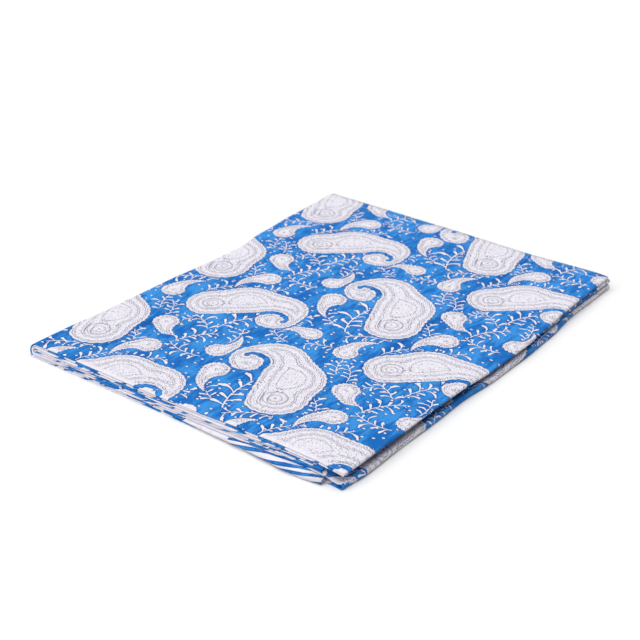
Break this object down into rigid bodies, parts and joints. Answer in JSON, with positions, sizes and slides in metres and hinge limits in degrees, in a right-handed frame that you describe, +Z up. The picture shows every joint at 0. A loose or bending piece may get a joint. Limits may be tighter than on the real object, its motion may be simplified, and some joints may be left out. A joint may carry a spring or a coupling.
{
  "type": "folded tablecloth",
  "caption": "Printed cotton tablecloth folded into a flat rectangular pack of layers, with soft fold edges, an open front and a rounded closed back, resting flat.",
  "frame": {"origin": "middle of the underside of the folded pack's box, where it rests on the table", "axes": "+X along the long side of the pack, +Y from the open front folds to the closed back folds, +Z up"},
  "size_m": [0.3892, 0.2936, 0.0143],
  "materials": {
    "printed_cotton": "matte blue and white printed plain-weave cotton",
    "cotton_reverse": "matte paler reverse of the printed cotton"
  },
  "bodies": {
    "root": {"folded_cloth": "printed_cotton"}
  },
  "joints": []
}
